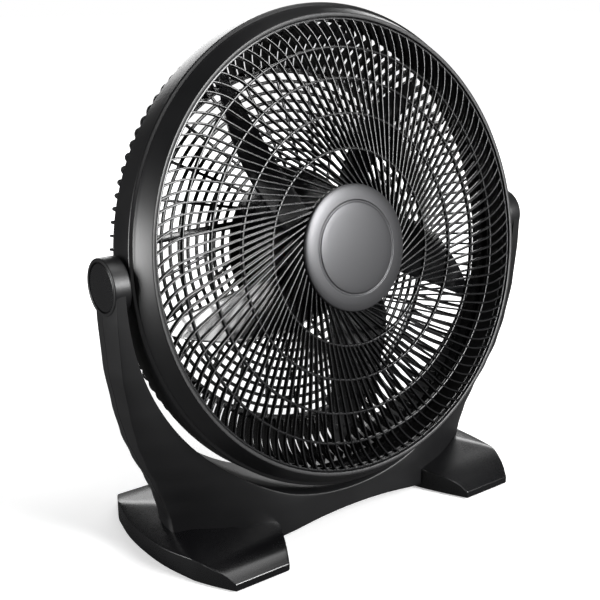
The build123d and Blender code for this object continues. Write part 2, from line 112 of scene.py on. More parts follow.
def tint(name, description, default):
    """A colour that the user may change."""
    return bpy.props.FloatVectorProperty(
        name=name, description=description, subtype="COLOR", size=3, default=default, min=0, max=1
    )


class FanSizes(bpy.types.PropertyGroup):
    """Sizes that a user may change within the shells of the CAD model."""

    rib_count: whole("Front Ribs", "Ribs that reach the outer ring", 116, 24, 180)
    rib_width: length("Rib Width", "Width of a front rib", 0.0021, 0.0012, 0.003)
    rib_depth: length("Rib Depth", "Depth of a front rib", 0.0058, 0.002, 0.006)
    fin_count: whole("Rear Fins", "Fins round the side of the rear grille", 116, 24, 180)
    fin_width: length("Fin Width", "Width of a rear fin", 0.0026, 0.0012, 0.004)
    blade_count: whole("Blades", "Blades on the rotor", 5, 3, 7)
    blade_phase: bpy.props.FloatProperty(
        name="Blade Phase", description="Angle of the first blade at rest", default=math.radians(48.0),
        unit="ROTATION", subtype="ANGLE",
    )


class FanColours(bpy.types.PropertyGroup):
    """Base colours of the fan's materials."""

    shell: tint("Shell", "Rim and stand plastic", (0.0045, 0.0045, 0.005))
    foot: tint("Feet", "Glossy plastic of the feet and caps", (0.003, 0.003, 0.0035))
    grille: tint("Grilles", "Plastic of both grilles", (0.004, 0.004, 0.0045))
    blade: tint("Blades", "Glossy plastic of the blades", (0.003, 0.003, 0.0035))
    badge: tint("Badge", "Silver-grey paint of the hub badge", (0.062, 0.062, 0.065))


# ---------------------------------------------------------------- shader building


class Nodes:
    """A node tree under construction."""

    def __init__(self, tree):
        self.tree = tree

    def feed(self, value, socket):
        """Links another node's output to a socket, or sets the socket's value."""
        if isinstance(value, bpy.types.NodeSocket):
            self.tree.links.new(value, socket)
        else:
            socket.default_value = value

    def node(self, kind, inputs=(), **settings):
        """A new node, with its inputs by name or index."""
        made = self.tree.nodes.new(kind)
        for key, value in settings.items():
            setattr(made, key, value)
        for key, value in dict(inputs).items():
            self.feed(value, made.inputs[key])
        return made

    def math(self, operation, a, b=0.0):
        return self.node("ShaderNodeMath", {0: a, 1: b}, operation=operation).outputs[0]


class Shader(Nodes):
    """A material under construction, round one Principled node."""

    def __init__(self, name):
        self.material = bpy.data.materials.new(name)
        self.material.use_nodes = True
        super().__init__(self.material.node_tree)
        self.tree.nodes.clear()
        self.out = self.node("ShaderNodeOutputMaterial")
        self.bsdf = self.node("ShaderNodeBsdfPrincipled")
        self.feed(self.bsdf.outputs[0], self.out.inputs[0])
        self.coords = self.node("ShaderNodeTexCoord").outputs["Object"]

    def noise(self, scale, detail=4.0, coords=None):
        """Noise over the piece, its scale in cells per metre."""
        inputs = {"Vector": coords or self.coords, "Scale": scale, "Detail": detail, "Roughness": 0.55}
        return self.node("ShaderNodeTexNoise", inputs).outputs["Fac"]

    def mapped(self, value, low, high, to_low, to_high):
        """A value moved from one range to another, held at the ends."""
        inputs = {"Value": value, 1: low, 2: high, 3: to_low, 4: to_high}
        return self.node("ShaderNodeMapRange", inputs).outputs[0]

    def mix(self, factor, a, b):
        """Colour between a and b."""
        return self.node("ShaderNodeMix", {"Factor": factor, 6: a, 7: b}, data_type="RGBA").outputs[2]

    def tones(self, value, low, high, colour, dark, light):
        """The colour, from darker where a value is low to lighter where it is high."""
        return self.mix(self.mapped(value, low, high, 0.0, 1.0), shade(colour, dark), shade(colour, light))

    def edges(self, radius=0.0015):
        """0 on flat surfaces, towards 1 on crisp edges."""
        soft = self.node("ShaderNodeBevel", {"Radius": radius}, samples=4).outputs[0]
        hard = self.node("ShaderNodeNewGeometry").outputs["Normal"]
        facing = self.node("ShaderNodeVectorMath", {0: soft, 1: hard}, operation="DOT_PRODUCT")
        return self.mapped(facing.outputs["Value"], 1.0, 0.86, 0.0, 1.0)

    def bump(self, height, strength, distance):
        inputs = {"Height": height, "Strength": strength, "Distance": distance}
        return self.node("ShaderNodeBump", inputs).outputs[0]

    def head_space(self):
        """Object coordinates turned so that Y is the fan axis and the hub is the origin."""
        moved = self.node("ShaderNodeVectorMath", {0: self.coords, 1: HUB}, operation="SUBTRACT").outputs[0]
        turned = {"Vector": moved, "Rotation": (HEAD_TILT, 0, 0)}
        return self.node("ShaderNodeMapping", turned).outputs[0]

    def finish(self, **sockets):
        """The material, with these values or links on its Principled node."""
        names = {
            "color": "Base Color", "roughness": "Roughness", "metallic": "Metallic", "normal": "Normal",
            "coat": "Coat Weight", "coat_roughness": "Coat Roughness", "specular": "Specular IOR Level",
        }
        for key, value in sockets.items():
            self.feed(value, self.bsdf.inputs[names[key]])
        return self.material


def shade(colour, factor):
    """A colour made lighter or darker, with alpha."""
    return (*[min(1.0, c * factor) for c in colour], 1.0)


def plastic(name, colour, roughness, grain=0.25, cells=1400.0, edge_wear_and_highlight=2.2, coat=0.0):
    """Moulded plastic: fine spark-eroded grain, slow sheen changes, paler edges that are partly wear and
    partly a painted highlight.
    """
    shader = Shader(name)
    slow = shader.noise(9.0, detail=3.0)
    fine = shader.noise(cells, detail=2.0)
    body = shader.tones(slow, 0.35, 0.65, colour, 0.86, 1.18)
    # Paler crisp edges: partly wear and partly a painted highlight.
    body = shader.mix(shader.math("MULTIPLY", shader.edges(), 0.55), body, shade(colour, edge_wear_and_highlight))
    sheen = shader.math("ADD", shader.mapped(slow, 0.3, 0.7, -0.035, 0.035), roughness)
    sheen = shader.math("ADD", sheen, shader.mapped(fine, 0.3, 0.7, -0.03, 0.03))
    normal = shader.bump(fine, grain, 0.00005)
    return shader.finish(color=body, roughness=sheen, normal=normal, coat=coat, coat_roughness=0.12)


def metal(name, colour, roughness, cells=900.0):
    """Plain metal with drawn or cast marks."""
    shader = Shader(name)
    marks = shader.noise(cells, detail=3.0)
    slow = shader.noise(25.0)
    body = shader.tones(slow, 0.3, 0.7, colour, 0.78, 1.12)
    # Paler crisp edges: partly wear and partly a painted highlight.
    body = shader.mix(shader.edges(0.0008), body, shade(colour, 1.35))
    sheen = shader.math("ADD", shader.mapped(marks, 0.25, 0.75, -0.1, 0.1), roughness)
    return shader.finish(color=body, roughness=sheen, metallic=1.0, normal=shader.bump(marks, 0.18, 0.0002))


def badge_paint(name, colour):
    """Silver paint over a turned face: fine circles round the hub."""
    shader = Shader(name)
    head = shader.head_space()
    split = shader.node("ShaderNodeSeparateXYZ", {"Vector": head}).outputs
    across = shader.node("ShaderNodeCombineXYZ", {"X": split["X"], "Y": split["Z"]}).outputs[0]
    radius = shader.node("ShaderNodeVectorMath", {0: across}, operation="LENGTH").outputs["Value"]
    ring = shader.node("ShaderNodeCombineXYZ", {"X": radius}).outputs[0]
    turned = shader.noise(2400.0, detail=2.0, coords=ring)
    cells = {"Vector": shader.coords, "Scale": 2600.0}
    flake = shader.node("ShaderNodeTexVoronoi", cells).outputs["Distance"]
    body = shader.tones(turned, 0.3, 0.7, colour, 0.9, 1.1)
    body = shader.mix(shader.mapped(flake, 0.0, 0.25, 0.35, 0.0), body, shade(colour, 1.7))
    sheen = shader.mapped(turned, 0.3, 0.7, 0.31, 0.37)
    return shader.finish(color=body, roughness=sheen, metallic=0.55, normal=shader.bump(turned, 0.12, 0.0001))


def laminated(name, colour):
    """Stacked steel sheets, seen as fine lines along the fan axis."""
    shader = Shader(name)
    split = shader.node("ShaderNodeSeparateXYZ", {"Vector": shader.head_space()}).outputs
    lines = shader.math("SINE", shader.math("MULTIPLY", split["Y"], 9000.0))
    patches = shader.noise(60.0)
    body = shader.tones(lines, -1.0, 1.0, colour, 0.55, 1.1)
    sheen = shader.mapped(patches, 0.3, 0.7, 0.35, 0.6)
    return shader.finish(color=body, roughness=sheen, metallic=0.9, normal=shader.bump(lines, 0.3, 0.0002))


def copper(name, colour):
    """Enamelled wire, wound side by side."""
    shader = Shader(name)
    wires = {"Vector": shader.coords, "Scale": 520.0, "Distortion": 0.6}
    lines = shader.node("ShaderNodeTexWave", wires, bands_direction="DIAGONAL").outputs["Fac"]
    # Darker in the grooves between the wires and lighter on their crowns: painted shade and painted
    # highlight.
    body = shader.mix(lines, shade(colour, 0.45), shade(colour, 1.15))
    sheen = shader.mapped(shader.noise(300.0), 0.3, 0.7, 0.22, 0.4)
    return shader.finish(
        color=body, roughness=sheen, metallic=0.85, coat=0.6, coat_roughness=0.15,
        normal=shader.bump(lines, 0.5, 0.0003),
    )


def rubber(name, colour):
    """Matte rubber with a dusty bloom."""
    shader = Shader(name)
    bloom = shader.noise(40.0)
    pores = shader.noise(2200.0, detail=1.0)
    body = shader.tones(bloom, 0.35, 0.7, colour, 0.8, 1.5)
    sheen = shader.mapped(bloom, 0.3, 0.7, 0.68, 0.85)
    return shader.finish(color=body, roughness=sheen, normal=shader.bump(pores, 0.35, 0.0002))


def finishes():
    """Every material of the fan, by the record's slot name."""
    found = {m.name for m in bpy.data.materials}
    made = {}
    colours = bpy.context.scene.fan_colours
    recipes = {
        "stand_plastic": lambda n: plastic(n, colours.shell, 0.40, grain=0.22),
        "rim_plastic": lambda n: plastic(n, colours.shell, 0.36, grain=0.16),
        "foot_plastic": lambda n: plastic(n, colours.foot, 0.27, grain=0.08, coat=0.05),
        "grille_plastic": lambda n: plastic(n, colours.grille, 0.26, grain=0.12, cells=1100.0, coat=0.15),
        "blade_plastic": lambda n: plastic(n, colours.blade, 0.17, grain=0.05, cells=600.0, coat=0.4),
        "badge_metal": lambda n: badge_paint(n, colours.badge),
        "pad_rubber": lambda n: rubber(n, (0.02, 0.02, 0.02)),
        "screw_steel": lambda n: metal(n, (0.42, 0.42, 0.44), 0.34),
        "motor_aluminium": lambda n: metal(n, (0.55, 0.55, 0.57), 0.5, cells=260.0),
        "core_steel": lambda n: laminated(n, (0.38, 0.38, 0.4)),
        "winding_copper": lambda n: copper(n, (0.62, 0.26, 0.1)),
        "bearing_bronze": lambda n: metal(n, (0.5, 0.33, 0.15), 0.42),
        "capacitor_case": lambda n: plastic(n, (0.045, 0.045, 0.05), 0.45),
    }
    for slot_name, recipe in recipes.items():
        name = "fan_" + slot_name
        made[slot_name] = bpy.data.materials[name] if name in found else recipe(name)
    return made


# ---------------------------------------------------------------- mesh building


def corner(last, here, after, radius, share, steps):
    """Points that round a corner, using up no more than a share of its two sides."""
    here = Vector(here)
    to_last, to_next = Vector(last) - here, Vector(after) - here
    if radius <= 0 or to_last.length < 1e-6 or to_next.length < 1e-6:
        return [tuple(here)]
    cut = min(radius, share * to_last.length, share * to_next.length)
    a = here + to_last.normalized() * cut
    b = here + to_next.normalized() * cut
    shares = [k / steps for k in range(steps + 1)]
    return [tuple(a.lerp(here, t).lerp(here.lerp(b, t), t)) for t in shares]


def fillet(points, radii, steps):
    """Rounds the inner corners of an open run of 2D points; radii are by index."""
    rounded = [points[0]]
    for i in range(1, len(points) - 1):
        rounded += corner(points[i - 1], points[i], points[i + 1], radii.get(i, 0.0), 0.45, steps)
    return rounded + [points[-1]]


def loop_fillet(points, radius, steps=4, only=None):
    """Rounds the corners of a closed run of 2D points."""
    count = len(points)
    rounded = []
    for i in range(count):
        size = radius if only is None or i in only else 0.0
        rounded += corner(points[i - 1], points[i], points[(i + 1) % count], size, 0.42, steps)
    return rounded


def add_loft(bm, rings):
    """Solid of quads between closed rings that have the same number of points."""
    rows = [[bm.verts.new(p) for p in ring] for ring in rings]
    count = len(rows[0])
    for a, b in zip(rows, rows[1:]):
        for i in range(count):
            j = (i + 1) % count
            bm.faces.new((a[i], a[j], b[j], b[i]))
    bm.faces.new(list(reversed(rows[0])))
    bm.faces.new(rows[-1])


def turned_rows(bm, profile, segments, axis="Y"):
    """Pairs of neighbouring rows of a (radius, along) profile turned about Y or X."""
    rows = []
    for k in range(segments):
        angle = math.tau * k / segments
        c, s = math.cos(angle), math.sin(angle)
        places = [(r * c, y, r * s) if axis == "Y" else (y, r * c, r * s) for r, y in profile]
        rows.append([bm.verts.new(p) for p in places])
    return zip(rows, rows[1:] + rows[:1])


def add_spin(bm, profile, segments=128, axis="Y"):
    """Closed ring from a closed profile."""
    count = len(profile)
    for a, b in turned_rows(bm, profile, segments, axis):
        for i in range(count):
            j = (i + 1) % count
            bm.faces.new((a[i], b[i], b[j], a[j]))


def add_solid_spin(bm, profile, segments=128):
    """Solid of revolution about Y from an open profile that starts and ends on the axis."""
    start = bm.verts.new((0, profile[0][1], 0))
    end = bm.verts.new((0, profile[-1][1], 0))
    inner = profile[1:-1]
    for a, b in turned_rows(bm, inner, segments):
        bm.faces.new((start, b[0], a[0]))
        bm.faces.new((end, a[-1], b[-1]))
        for i in range(len(inner) - 1):
            bm.faces.new((a[i], b[i], b[i + 1], a[i + 1]))


def add_mesh(bm, mesh, matrix=None):
    """Adds a copy of a mesh's faces."""
    before = len(bm.verts)
    bm.from_mesh(mesh)
    bm.verts.ensure_lookup_table()
    if matrix is not None:
        bmesh.ops.transform(bm, matrix=matrix, verts=bm.verts[before:])


def mesh_of(bm, name):
    """Outward-facing mesh of everything in bm, which is freed."""
    bmesh.ops.remove_doubles(bm, verts=bm.verts, dist=1e-7)
    bmesh.ops.recalc_face_normals(bm, faces=bm.faces)
    mesh = bpy.data.meshes.new(name)
    bm.to_mesh(mesh)
    bm.free()
    return mesh


def spun(profile, segments, axis="Y"):
    """Mesh of a closed profile turned about Y or X."""
    bm = bmesh.new()
    add_spin(bm, profile, segments, axis)
    return mesh_of(bm, "spun")


def linked(name, data):
    """A new object in the scene."""
    made = bpy.data.objects.new(name, data)
    bpy.context.scene.collection.objects.link(made)
    return made


def shown_mesh(made):
    """Mesh of an object with its modifiers applied."""
    return bpy.data.meshes.new_from_object(made.evaluated_get(bpy.context.evaluated_depsgraph_get()))


def smooth(mesh, degrees):
    """Smooth shading with sharp edges kept by angle."""
    mesh.shade_smooth()
    bm = bmesh.new()
    bm.from_mesh(mesh)
    limit = math.radians(degrees)
    for edge in bm.edges:
        edge.smooth = len(edge.link_faces) == 2 and edge.calc_face_angle(0.0) < limit
    bm.to_mesh(mesh)
    bm.free()


def place(name, mesh, slot, body, replaced, matrix=None, degrees=32.0, bevel=0.0):
    """One finished piece: moved within its mesh, smoothed, given its finish and its body."""
    if matrix is not None:
        mesh.transform(matrix)
    mesh.name = name
    smooth(mesh, degrees)
    mesh.materials.clear()
    mesh.materials.append(finishes()[slot])
    mesh.polygons.foreach_set("material_index", [0] * len(mesh.polygons))
    piece = linked(name, mesh)
    if bevel:
        rounding = piece.modifiers.new("Rounding", "BEVEL")
        rounding.width = bevel
        rounding.segments = 2
        rounding.limit_method = "ANGLE"
        rounding.angle_limit = math.radians(40)
        rounding.harden_normals = False
    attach(piece, body)
    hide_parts(*replaced)


def refine(node, slot, body, degrees=30.0, bevel=0.0):
    """A cleaned copy of a CAD node, smooth where it is round and crisp elsewhere."""
    bm = bmesh.new()
    bm.from_mesh(frame["nodes"][node].data)
    bmesh.ops.remove_doubles(bm, verts=bm.verts, dist=2e-6)
    bmesh.ops.dissolve_degenerate(bm, dist=1e-6, edges=bm.edges)
    mesh = bpy.data.meshes.new(node)
    bm.to_mesh(mesh)
    bm.free()
    if "custom_normal" in mesh.attributes:
        mesh.attributes.remove(mesh.attributes["custom_normal"])
    place("shown_" + node, mesh, slot, body, [node], degrees=degrees, bevel=bevel)


# ---------------------------------------------------------------- geometry nodes


class Growth(Nodes):
    """A Geometry Nodes tree under construction, with named inputs."""

    def __init__(self, name, inputs):
        """Inputs map a label to a number, or to a socket type where nothing is set at first."""
        super().__init__(bpy.data.node_groups.new(name, "GeometryNodeTree"))
        face = self.tree.interface
        self.inputs = {}
        for label, value in (*inputs.items(), ("Material", "NodeSocketMaterial")):
            numbers = {int: "NodeSocketInt", float: "NodeSocketFloat"}
            kind = numbers.get(type(value), value)
            socket = face.new_socket(label, in_out="INPUT", socket_type=kind)
            if type(value) in numbers:
                socket.default_value = value
            self.inputs[label] = socket.identifier
        face.new_socket("Geometry", in_out="OUTPUT", socket_type="NodeSocketGeometry")
        self.entry = self.node("NodeGroupInput")
        self.exit = self.node("NodeGroupOutput")

    def given(self, label):
        return self.entry.outputs[label]

    def point(self, x=0.0, y=0.0, z=0.0):
        return self.node("ShaderNodeCombineXYZ", {0: x, 1: y, 2: z}).outputs[0]

    def run(self, steps):
        """A straight curve of that many points, and each point's share of the way."""
        line = self.node("GeometryNodeCurvePrimitiveLine", {"Start": (0, 0, 0), "End": (1, 0, 0)}).outputs[0]
        even = self.node("GeometryNodeResampleCurve", {"Curve": line, "Count": steps}).outputs[0]
        share = self.node("GeometryNodeSplineParameter").outputs["Factor"]
        return even, share

    def bar(self, curve, width, depth, round_by=0.3):
        """A rounded bar along a curve."""
        sides = {"Width": width, "Height": depth}
        section = self.node("GeometryNodeCurvePrimitiveQuadrilateral", sides).outputs[0]
        radius = self.math("MULTIPLY", self.math("MINIMUM", width, depth), round_by)
        rounding = {"Curve": section, "Radius": radius, "Count": 2}
        section = self.node("GeometryNodeFilletCurve", rounding, mode="POLY").outputs[0]
        swept = {"Curve": curve, "Profile Curve": section, "Fill Caps": True}
        return self.node("GeometryNodeCurveToMesh", swept).outputs[0]

    def spread(self, geometry, count, turn, axis="Z"):
        """Copies turned evenly about an axis."""
        points = self.node("GeometryNodePoints", {"Count": count}).outputs[0]
        index = self.node("GeometryNodeInputIndex").outputs[0]
        step = self.math("DIVIDE", math.tau, count)
        angle = self.math("ADD", self.math("MULTIPLY", index, step), turn)
        angle = angle if axis == "Z" else self.math("MULTIPLY", angle, -1.0)
        rotation = self.point(z=angle) if axis == "Z" else self.point(y=angle)
        copies = {"Points": points, "Instance": geometry, "Rotation": rotation}
        return self.node("GeometryNodeInstanceOnPoints", copies).outputs[0]

    def close(self, geometry):
        """Realize Instances, Set Material, and the tree's output."""
        real = self.node("GeometryNodeRealizeInstances", {"Geometry": geometry}).outputs[0]
        done = {"Geometry": real, "Material": self.given("Material")}
        done = self.node("GeometryNodeSetMaterial", done).outputs[0]
        self.feed(done, self.exit.inputs[0])
        return self

    def grow(self, **values):
        """A plain mesh of the tree's result for these inputs, in metres."""
        host = linked("host", bpy.data.meshes.new("host"))
        modifier = host.modifiers.new("Growth", "NODES")
        modifier.node_group = self.tree
        for label, value in values.items():
            modifier[self.inputs[label.replace("_", " ").title()]] = value
        mesh = shown_mesh(host)
        bpy.data.objects.remove(host)
        return mesh


def rib_tree():
    """Front ribs: each leaves a small circle as a tangent, and curls near the rim."""
    g = Growth("Swirled Ribs", {
        "Count": 116, "Inner Radius": 0.069, "Outer Radius": 0.249, "Offset": 0.054, "Bend Start": 0.215,
        "Bend": 9.2, "Width": 0.002, "Depth": 0.006, "Turn": 0.0, "Steps": 22,
    })
    line, share = g.run(g.given("Steps"))
    span = g.math("SUBTRACT", g.given("Outer Radius"), g.given("Inner Radius"))
    radius = g.math("ADD", g.math("MULTIPLY", span, share), g.given("Inner Radius"))
    past = g.math("MAXIMUM", g.math("SUBTRACT", radius, g.given("Bend Start")), 0.0)
    bend = g.math("DIVIDE", g.math("MULTIPLY", g.math("MULTIPLY", past, past), g.given("Bend")), radius)
    angle = g.math("ADD", g.math("ARCCOSINE", g.math("DIVIDE", g.given("Offset"), radius)), bend)
    across, up = [g.math("MULTIPLY", radius, g.math(wave, angle)) for wave in ("COSINE", "SINE")]
    curve = g.node("GeometryNodeSetPosition", {"Geometry": line, "Position": g.point(across, up)}).outputs[0]
    upright = g.node("GeometryNodeSetCurveNormal", {"Curve": curve}, mode="Z_UP").outputs[0]
    bars = g.bar(upright, g.given("Width"), g.given("Depth"))
    return g.close(g.spread(bars, g.given("Count"), g.given("Turn")))


def ring_tree():
    """Concentric rings at an even pitch."""
    g = Growth("Rings", {
        "Count": 1, "First Radius": 0.1, "Pitch": 0.01, "Width": 0.003, "Depth": 0.006, "Segments": 160,
    })
    outline = {"Resolution": g.given("Segments"), "Radius": 1.0}
    circle = g.node("GeometryNodeCurvePrimitiveCircle", outline).outputs[0]
    points = g.node("GeometryNodePoints", {"Count": g.given("Count")}).outputs[0]
    index = g.node("GeometryNodeInputIndex").outputs[0]
    size = g.math("ADD", g.math("MULTIPLY", index, g.given("Pitch")), g.given("First Radius"))
    copies = {"Points": points, "Instance": circle, "Scale": g.point(size, size, size)}
    rings = g.node("GeometryNodeInstanceOnPoints", copies).outputs[0]
    rings = g.node("GeometryNodeRealizeInstances", {"Geometry": rings}).outputs[0]
    rings = g.node("GeometryNodeSetCurveNormal", {"Curve": rings}, mode="Z_UP").outputs[0]
    return g.close(g.bar(rings, g.given("Width"), g.given("Depth")))


def fin_tree():
    """Rear fins: quarter arcs from the rim to the flat back."""
    g = Growth("Rear Fins", {
        "Count": 116, "Centre Radius": 0.208, "Arc Radius": 0.055, "Start": 0.0117, "First Angle": 0.0,
        "Width": 0.0026, "Depth": 0.0043, "Turn": 0.0,
    })
    line, share = g.run(14)
    first = g.given("First Angle")
    angle = g.math("ADD", first, g.math("MULTIPLY", share, g.math("SUBTRACT", math.pi / 2, first)))
    out, back = [
        g.math("ADD", g.given(start), g.math("MULTIPLY", g.given("Arc Radius"), g.math(wave, angle)))
        for start, wave in (("Centre Radius", "COSINE"), ("Start", "SINE"))
    ]
    curve = g.node("GeometryNodeSetPosition", {"Geometry": line, "Position": g.point(out, back)}).outputs[0]
    upright = g.node("GeometryNodeSetCurveNormal", {"Curve": curve}, mode="Z_UP").outputs[0]
    bars = g.bar(upright, g.given("Depth"), g.given("Width"))
    return g.close(g.spread(bars, g.given("Count"), g.given("Turn"), axis="Y"))


def spread_tree():
    """Copies of an object turned about Y."""
    g = Growth("Turned Copies", {"Original": "NodeSocketObject", "Count": 6, "Turn": 0.0})
    shape = g.node("GeometryNodeObjectInfo", {"Object": g.given("Original")}).outputs["Geometry"]
    return g.close(g.spread(shape, g.given("Count"), g.given("Turn"), axis="Y"))


def turned_copies(mesh, count, turn, material):
    """Mesh with copies of a mesh spread about Y."""
    original = linked("original", mesh)
    grown = spread_tree().grow(original=original, count=count, turn=turn, material=material)
    bpy.data.objects.remove(original)
    return grown


def flat_to_head(plane_y):
    """From a tree's XY plane to the head's XZ plane at a distance along the fan axis, in metres."""
    return Matrix.Translation((0, plane_y * MM, 0)) @ Matrix.Rotation(math.pi / 2, 4, "X")


# ---------------------------------------------------------------- head pieces


class FAN_OT_rim(bpy.types.Operator):
    """Rim ring with its bevels, lip, inner seat and pivot bosses"""

    bl_idname = "fan.rim"
    bl_label = "Rim"

    def execute(self, context):
        bm = bmesh.new()
        outline = [
            (251.4, -43.4), (251.3, -45.3), (255.7, -45.9), (264.7, -27.9), (266.1, -25.8), (266.2, -24.9),
            (269.2, -24.0), (270.0, -22.8), (268.9, -5.0), (267.9, 11.0), (267.2, 11.7), (265.4, 11.7),
            (266.4, -5.0), (267.2, -21.2), (263.6, -24.2), (261.9, -27.6), (254.0, -42.9),
        ]
        add_spin(bm, loop_fillet(outline, 1.1, 3), 288)
        ledge = [(247.3, -37.2), (258.4, -37.2), (258.8, -35.9), (247.3, -35.9)]
        add_spin(bm, loop_fillet(ledge, 0.4, 2), 192)
        seat = [(261.5, 10.2), (265.6, 10.2), (265.5, 11.6), (261.5, 11.6)]
        add_spin(bm, loop_fillet(seat, 0.3, 2), 192)
        boss = [
            (11.0, -266.8), (11.0, -275.6), (10.3, -276.35), (4.8, -276.35), (4.07, -275.8), (4.07, -266.8),
        ]
        boss_mesh = spun(boss, 48, axis="X")
        for turn in (0.0, math.pi):
            add_mesh(bm, boss_mesh, Matrix.Translation((0, 0, AXIS_DROP)) @ Matrix.Rotation(turn, 4, "Y"))
        place("rim", mesh_of(bm, "rim"), "rim_plastic", "head", ["rim_shell"], HEAD_MM, degrees=24)
        return {"FINISHED"}


class FAN_OT_front_grille(bpy.types.Operator):
    """Flat front grille: swirled ribs, four rings, rim band and hub plate"""

    bl_idname = "fan.front_grille"
    bl_label = "Front Grille"

    def execute(self, context):
        sizes = context.scene.fan_sizes
        material = finishes()["grille_plastic"]
        count = sizes.rib_count
        front, setback = -43.7, 0.6
        ribs = rib_tree()
        common = {
            "count": count // 2, "outer_radius": 0.2495, "width": sizes.rib_width, "depth": sizes.rib_depth,
            "material": material,
        }
        bm = bmesh.new()
        for inner, steps, turn in ((0.0685, 26, 0.0), (0.1095, 20, math.tau / count)):
            mesh = ribs.grow(inner_radius=inner, steps=steps, turn=turn, **common)
            add_mesh(bm, mesh, flat_to_head(front + sizes.rib_depth / MM / 2))
        rings = ring_tree()
        depth = 0.0046
        for radius in (0.110, 0.1483, 0.1863, 0.2197):
            mesh = rings.grow(first_radius=radius, width=0.003, depth=depth, segments=192, material=material)
            add_mesh(bm, mesh, flat_to_head(front + setback + depth / MM / 2))
        plates = bmesh.new()
        band = [(248.6, -43.5), (251.0, -43.5), (251.0, -37.8), (248.6, -37.8)]
        add_spin(plates, loop_fillet(band, 0.5, 2), 256)
        hub = [(56.2, -43.3), (70.0, -43.3), (70.0, -37.8), (56.2, -37.8)]
        add_spin(plates, loop_fillet(hub, 0.5, 2), 128)
        add_mesh(bm, mesh_of(plates, "plates"), TO_METRES)
        mesh = mesh_of(bm, "grille")
        place("grille_front", mesh, "grille_plastic", "head", ["front_grille"], HEAD, degrees=50)
        return {"FINISHED"}


class FAN_OT_badge(bpy.types.Operator):
    """Silver badge on the hub with its turned groove"""

    bl_idname = "fan.badge"
    bl_label = "Hub Badge"

    def execute(self, context):
        bm = bmesh.new()
        profile = [
            (0, -50.2), (15, -50.15), (30, -49.9), (42, -49.5), (50.4, -49.05), (51.3, -48.1), (52.9, -48.05),
            (53.8, -48.85), (62.0, -48.2), (68.0, -47.5), (70.6, -46.6), (71.2, -45.4), (71.0, -43.8),
            (55.7, -43.75), (55.7, -39.0), (53, -39.0), (53, -45.4), (0, -46.2),
        ]
        add_solid_spin(bm, fillet(profile, {4: 0.7, 5: 0.5, 6: 0.5, 7: 0.7, 10: 1.2, 11: 0.8}, 4), 160)
        place("badge", mesh_of(bm, "badge"), "badge_metal", "head", ["hub_badge"], HEAD_MM, degrees=26)
        return {"FINISHED"}


class FAN_OT_rear_grille(bpy.types.Operator):
    """Bowl-shaped rear grille: side fins, flat rings and radial arms"""

    bl_idname = "fan.rear_grille"
    bl_label = "Rear Grille"

    def execute(self, context):
        sizes = context.scene.fan_sizes
        material = finishes()["grille_plastic"]
        bm = bmesh.new()
        fins = fin_tree()
        common = {
            "count": sizes.fin_count, "width": sizes.fin_width, "turn": math.pi / sizes.fin_count,
            "material": material,
        }
        add_mesh(bm, fins.grow(depth=0.0046, arc_radius=0.0552, start=0.0120, **common))
        add_mesh(bm, fins.grow(depth=0.0115, arc_radius=0.0510, start=0.0118, first_angle=0.29, **common))
        flat_back = flat_to_head(67.3)
        rings = ring_tree().grow(
            count=10, first_radius=0.10294, pitch=0.01134, width=0.0040, depth=0.0031, material=material
        )
        add_mesh(bm, rings, flat_back)
        # the broad arm stands at this angle where it crosses this radius
        crossing, radius, offset = math.radians(167.0), 0.155, 0.038
        lean = {
            "inner_radius": 0.092, "outer_radius": 0.209, "offset": offset, "bend": 0.0, "steps": 8,
            "turn": crossing - math.acos(offset / radius), "material": material,
        }
        arms = rib_tree()
        for count, width, depth in ((27, 0.0034, 0.0029), (1, 0.009, 0.0031)):
            add_mesh(bm, arms.grow(count=count, width=width, depth=depth, **lean), flat_back)
        bands = bmesh.new()
        rim_band = [(260.2, 11.8), (263.2, 11.8), (262.8, 18.5), (261.6, 26.0), (258.9, 26.0), (259.8, 18.5)]
        add_spin(bands, loop_fillet(rim_band, 0.6, 2), 232)
        plate = [(60.6, 65.8), (93.6, 65.8), (93.6, 68.85), (84, 68.85), (83, 68.2), (78, 68.2), (77, 68.85),
                 (60.6, 68.85)]
        add_spin(bands, loop_fillet(plate, 0.5, 2), 160)
        corner_band = [(204.8, 65.5), (211.6, 65.2), (211.6, 68.0), (208.5, 68.85), (204.8, 68.85)]
        add_spin(bands, loop_fillet(corner_band, 0.6, 2), 232)
        add_mesh(bm, mesh_of(bands, "bands"), TO_METRES)
        mesh = mesh_of(bm, "grille")
        place("grille_rear", mesh, "grille_plastic", "head", ["rear_grille"], HEAD, degrees=50)
        return {"FINISHED"}


# radius, slope and camber of the blade's middle surface
BLADE_STATIONS = ((30.0, 0.66, 3.0), (95.0, 0.52, 5.0), (165.0, 0.41, 6.0), (245.0, 0.33, 5.0))


def blade_height(x, radius):
    """Distance along the fan axis of the blade's middle surface."""
    radius = min(max(radius, 30.0), 245.0)
    for (r0, s0, c0), (r1, s1, c1) in zip(BLADE_STATIONS, BLADE_STATIONS[1:]):
        if radius <= r1:
            t = (radius - r0) / (r1 - r0)
            slope, camber = s0 + (s1 - s0) * t, c0 + (c1 - c0) * t
            break
    return slope * x + camber * (1 - ((x + 29) / 39) ** 2)


def between(p, t):
    """Catmull-Rom curve from the second to the third of four points or numbers."""
    b = (p[2] - p[0]) * t
    c = (p[0] * 2 - p[1] * 5 + p[2] * 4 - p[3]) * t * t
    d = (p[1] * 3 - p[0] - p[2] * 3 + p[3]) * t * t * t
    return (p[1] * 2 + b + c + d) * 0.5


def along_points(points, t):
    """Point on a Catmull-Rom run of points, t from 0 to 1."""
    spans = len(points) - 1
    k = min(int(t * spans), spans - 1)
    return between([Vector(points[max(0, min(spans, k + d))]) for d in (-1, 0, 1, 2)], t * spans - k)


